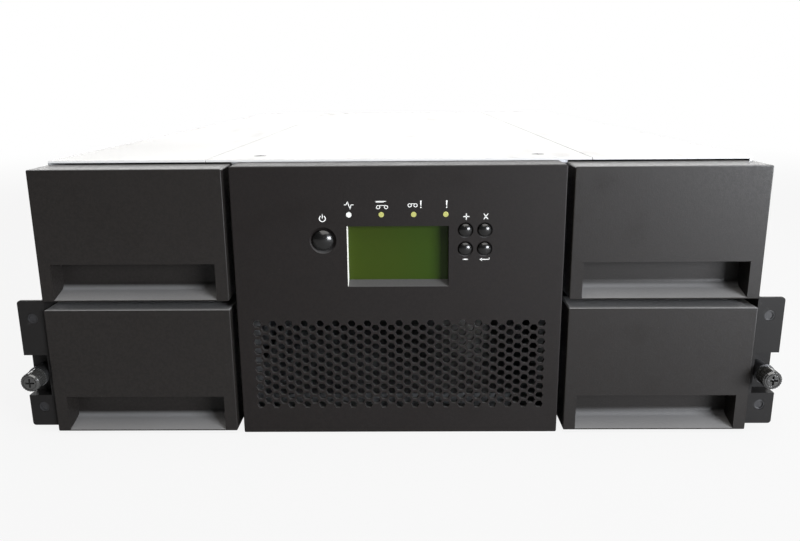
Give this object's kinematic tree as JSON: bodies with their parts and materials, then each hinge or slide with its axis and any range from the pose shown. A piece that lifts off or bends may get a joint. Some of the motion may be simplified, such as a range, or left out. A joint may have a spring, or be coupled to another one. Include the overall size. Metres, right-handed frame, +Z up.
{
  "type": "data tape library",
  "caption": "Rack-mounted data tape library with pull-out cartridge magazines, middle control fascia, picker robot, and pull-out drives and power supplies at the rear.",
  "frame": {"origin": "Middle of the underside of the whole bounding box.", "axes": "+X to the right seen from the front, +Y from the front to the rear, +Z up."},
  "size_m": [0.4826, 0.8216, 0.1755],
  "materials": {
    "chassis_base": "galvanised sheet, fine spangle",
    "side_wall_left": "galvanised sheet, fine spangle",
    "side_wall_right": "galvanised sheet, fine spangle",
    "rear_panel": "galvanised sheet",
    "rear_cage": "galvanised sheet",
    "top_cover": "pale satin sheet",
    "top_side_panels": "pale satin sheet",
    "cover_screws": "black oxide screw heads",
    "magazine_bays": "galvanised sheet",
    "front_frame": "galvanised sheet",
    "front_bezel": "fine moulded grain",
    "display_module": "circuit board and frame",
    "display_glass": "green liquid-crystal cell",
    "control_board": "circuit board",
    "ready_led": "clear lens",
    "status_leds": "pale amber lenses",
    "rack_ear_left": "black powder coat",
    "rack_ear_right": "black powder coat",
    "ear_screws": "black oxide screws",
    "screw_ferrules": "dark plated steel",
    "aisle_rails": "bright steel strip",
    "drive_rack": "moulded rack",
    "upper_left_bezel": "fine moulded grain",
    "upper_left_frame": "moulded frame",
    "upper_left_cartridges": "cartridge shells",
    "upper_right_bezel": "fine moulded grain",
    "upper_right_frame": "moulded frame",
    "upper_right_cartridges": "cartridge shells",
    "lower_right_bezel": "fine moulded grain",
    "lower_right_frame": "moulded frame",
    "lower_right_cartridges": "cartridge shells",
    "lower_left_frame": "moulded frame",
    "lower_left_cartridges": "cartridge shells",
    "io_station_bezel": "fine moulded grain",
    "io_station_carrier": "moulded carrier",
    "power_button": "satin cap",
    "plus_key": "satin cap",
    "minus_key": "satin cap",
    "cancel_key": "satin cap",
    "enter_key": "satin cap",
    "thumbscrew_left": "black knurled knob",
    "thumbscrew_right": "black knurled knob",
    "carriage_frame": "painted sheet and steel rods",
    "carriage_motor": "motor can",
    "carriage_pinion": "cut brass",
    "lift_platform": "painted sheet",
    "turntable": "satin sheet",
    "picker_tray": "moulded tray",
    "gripper": "moulded gripper",
    "barcode_reader": "reader housing",
    "lower_drive_sled": "galvanised sheet",
    "upper_drive_sled": "galvanised sheet",
    "lower_drive": "plated drive case",
    "upper_drive": "plated drive case",
    "lower_supply": "galvanised case",
    "upper_supply": "galvanised case",
    "lower_supply_fan": "fan rotor",
    "upper_supply_fan": "fan rotor",
    "controller_card": "steel plate and circuit board"
  },
  "bodies": {
    "case": {"chassis_base": "chassis_base", "side_wall_left": "side_wall_left", "side_wall_right": "side_wall_right", "rear_panel": "rear_panel", "rear_cage": "rear_cage", "top_cover": "top_cover", "top_side_panels": "top_side_panels", "cover_screws": "cover_screws", "magazine_bays": "magazine_bays", "front_frame": "front_frame", "front_bezel": "front_bezel", "display_module": "display_module", "display_glass": "display_glass", "control_board": "control_board", "ready_led": "ready_led", "status_leds": "status_leds", "rack_ear_left": "rack_ear_left", "rack_ear_right": "rack_ear_right", "ear_screws": "ear_screws", "screw_ferrules": "screw_ferrules", "aisle_rails": "aisle_rails", "drive_rack": "drive_rack"},
    "upper_left_magazine": {"upper_left_bezel": "upper_left_bezel", "upper_left_frame": "upper_left_frame", "upper_left_cartridges": "upper_left_cartridges"},
    "upper_right_magazine": {"upper_right_bezel": "upper_right_bezel", "upper_right_frame": "upper_right_frame", "upper_right_cartridges": "upper_right_cartridges"},
    "lower_right_magazine": {"lower_right_bezel": "lower_right_bezel", "lower_right_frame": "lower_right_frame", "lower_right_cartridges": "lower_right_cartridges"},
    "lower_left_magazine": {"lower_left_frame": "lower_left_frame", "lower_left_cartridges": "lower_left_cartridges"},
    "io_station": {"io_station_bezel": "io_station_bezel", "io_station_carrier": "io_station_carrier"},
    "power_button": {"power_button": "power_button"},
    "plus_key": {"plus_key": "plus_key"},
    "minus_key": {"minus_key": "minus_key"},
    "cancel_key": {"cancel_key": "cancel_key"},
    "enter_key": {"enter_key": "enter_key"},
    "thumbscrew_left": {"thumbscrew_left": "thumbscrew_left"},
    "thumbscrew_right": {"thumbscrew_right": "thumbscrew_right"},
    "carriage": {"carriage_frame": "carriage_frame", "carriage_motor": "carriage_motor"},
    "pinion": {"carriage_pinion": "carriage_pinion"},
    "lift": {"lift_platform": "lift_platform"},
    "turntable": {"turntable": "turntable"},
    "tray": {"picker_tray": "picker_tray"},
    "gripper": {"gripper": "gripper", "barcode_reader": "barcode_reader"},
    "lower_drive_unit": {"lower_drive_sled": "lower_drive_sled", "lower_drive": "lower_drive"},
    "upper_drive_unit": {"upper_drive_sled": "upper_drive_sled", "upper_drive": "upper_drive"},
    "lower_power_supply": {"lower_supply": "lower_supply"},
    "upper_power_supply": {"upper_supply": "upper_supply"},
    "lower_fan": {"lower_supply_fan": "lower_supply_fan"},
    "upper_fan": {"upper_supply_fan": "upper_supply_fan"},
    "controller": {"controller_card": "controller_card"}
  },
  "joints": [
    {"name": "upper_left_magazine_slide", "type": "slide", "parent": "case", "child": "upper_left_magazine", "axis": [0, -1, 0], "range_m": [0, 0.42]},
    {"name": "upper_right_magazine_slide", "type": "slide", "parent": "case", "child": "upper_right_magazine", "axis": [0, -1, 0], "range_m": [0, 0.42]},
    {"name": "lower_right_magazine_slide", "type": "slide", "parent": "case", "child": "lower_right_magazine", "axis": [0, -1, 0], "range_m": [0, 0.42]},
    {"name": "lower_left_magazine_slide", "type": "slide", "parent": "case", "child": "lower_left_magazine", "axis": [0, -1, 0], "range_m": [0, 0.42]},
    {"name": "io_station_slide", "type": "slide", "parent": "lower_left_magazine", "child": "io_station", "axis": [0, -1, 0], "range_m": [0, 0.104]},
    {"name": "power_button_press", "type": "slide", "parent": "case", "child": "power_button", "axis": [0, 1, 0], "range_m": [0, 0.001], "stiffness_N_per_m": 900},
    {"name": "plus_key_press", "type": "slide", "parent": "case", "child": "plus_key", "axis": [0, 1, 0], "range_m": [0, 0.001], "stiffness_N_per_m": 900},
    {"name": "minus_key_press", "type": "slide", "parent": "case", "child": "minus_key", "axis": [0, 1, 0], "range_m": [0, 0.001], "stiffness_N_per_m": 900},
    {"name": "cancel_key_press", "type": "slide", "parent": "case", "child": "cancel_key", "axis": [0, 1, 0], "range_m": [0, 0.001], "stiffness_N_per_m": 900},
    {"name": "enter_key_press", "type": "slide", "parent": "case", "child": "enter_key", "axis": [0, 1, 0], "range_m": [0, 0.001], "stiffness_N_per_m": 900},
    {"name": "thumbscrew_left_turn", "type": "hinge", "parent": "case", "child": "thumbscrew_left", "pos_m": [-0.23255, -0.39925, 0.0404], "axis": [0, -1, 0], "continuous": true},
    {"name": "thumbscrew_right_turn", "type": "hinge", "parent": "case", "child": "thumbscrew_right", "pos_m": [0.23255, -0.39925, 0.0404], "axis": [0, -1, 0], "continuous": true},
    {"name": "carriage_slide", "type": "slide", "parent": "case", "child": "carriage", "axis": [0, -1, 0], "range_m": [0, 0.3535]},
    {"name": "pinion_spin", "type": "hinge", "parent": "carriage", "child": "pinion", "pos_m": [0.074, 0.12975, 0.0065], "axis": [0, 0, 1], "continuous": true},
    {"name": "lift_slide", "type": "slide", "parent": "carriage", "child": "lift", "axis": [0, 0, 1], "range_m": [0, 0.1392]},
    {"name": "turntable_turn", "type": "hinge", "parent": "lift", "child": "turntable", "pos_m": [0, 0.04075, 0.005], "axis": [0, 0, 1], "range_deg": [-90, 180]},
    {"name": "tray_slide", "type": "slide", "parent": "turntable", "child": "tray", "axis": [0, -1, 0], "range_m": [0, 0.052]},
    {"name": "gripper_slide", "type": "slide", "parent": "tray", "child": "gripper", "axis": [0, -1, 0], "range_m": [0, 0.101]},
    {"name": "lower_drive_slide", "type": "slide", "parent": "case", "child": "lower_drive_unit", "axis": [0, 1, 0], "range_m": [0, 0.2]},
    {"name": "upper_drive_slide", "type": "slide", "parent": "case", "child": "upper_drive_unit", "axis": [0, 1, 0], "range_m": [0, 0.2]},
    {"name": "lower_supply_slide", "type": "slide", "parent": "case", "child": "lower_power_supply", "axis": [0, 1, 0], "range_m": [0, 0.18]},
    {"name": "upper_supply_slide", "type": "slide", "parent": "case", "child": "upper_power_supply", "axis": [0, 1, 0], "range_m": [0, 0.18]},
    {"name": "lower_fan_spin", "type": "hinge", "parent": "lower_power_supply", "child": "lower_fan", "pos_m": [-0.196, 0.35875, 0.0263], "axis": [0, 1, 0], "continuous": true},
    {"name": "upper_fan_spin", "type": "hinge", "parent": "upper_power_supply", "child": "upper_fan", "pos_m": [-0.196, 0.35875, 0.0763], "axis": [0, 1, 0], "continuous": true},
    {"name": "controller_slide", "type": "slide", "parent": "case", "child": "controller", "axis": [0, 1, 0], "range_m": [0, 0.17]}
  ],
  "couplings": [
    {"joint": "pinion_spin", "follows": "carriage_slide", "rad_per_m": 111.11}
  ]
}
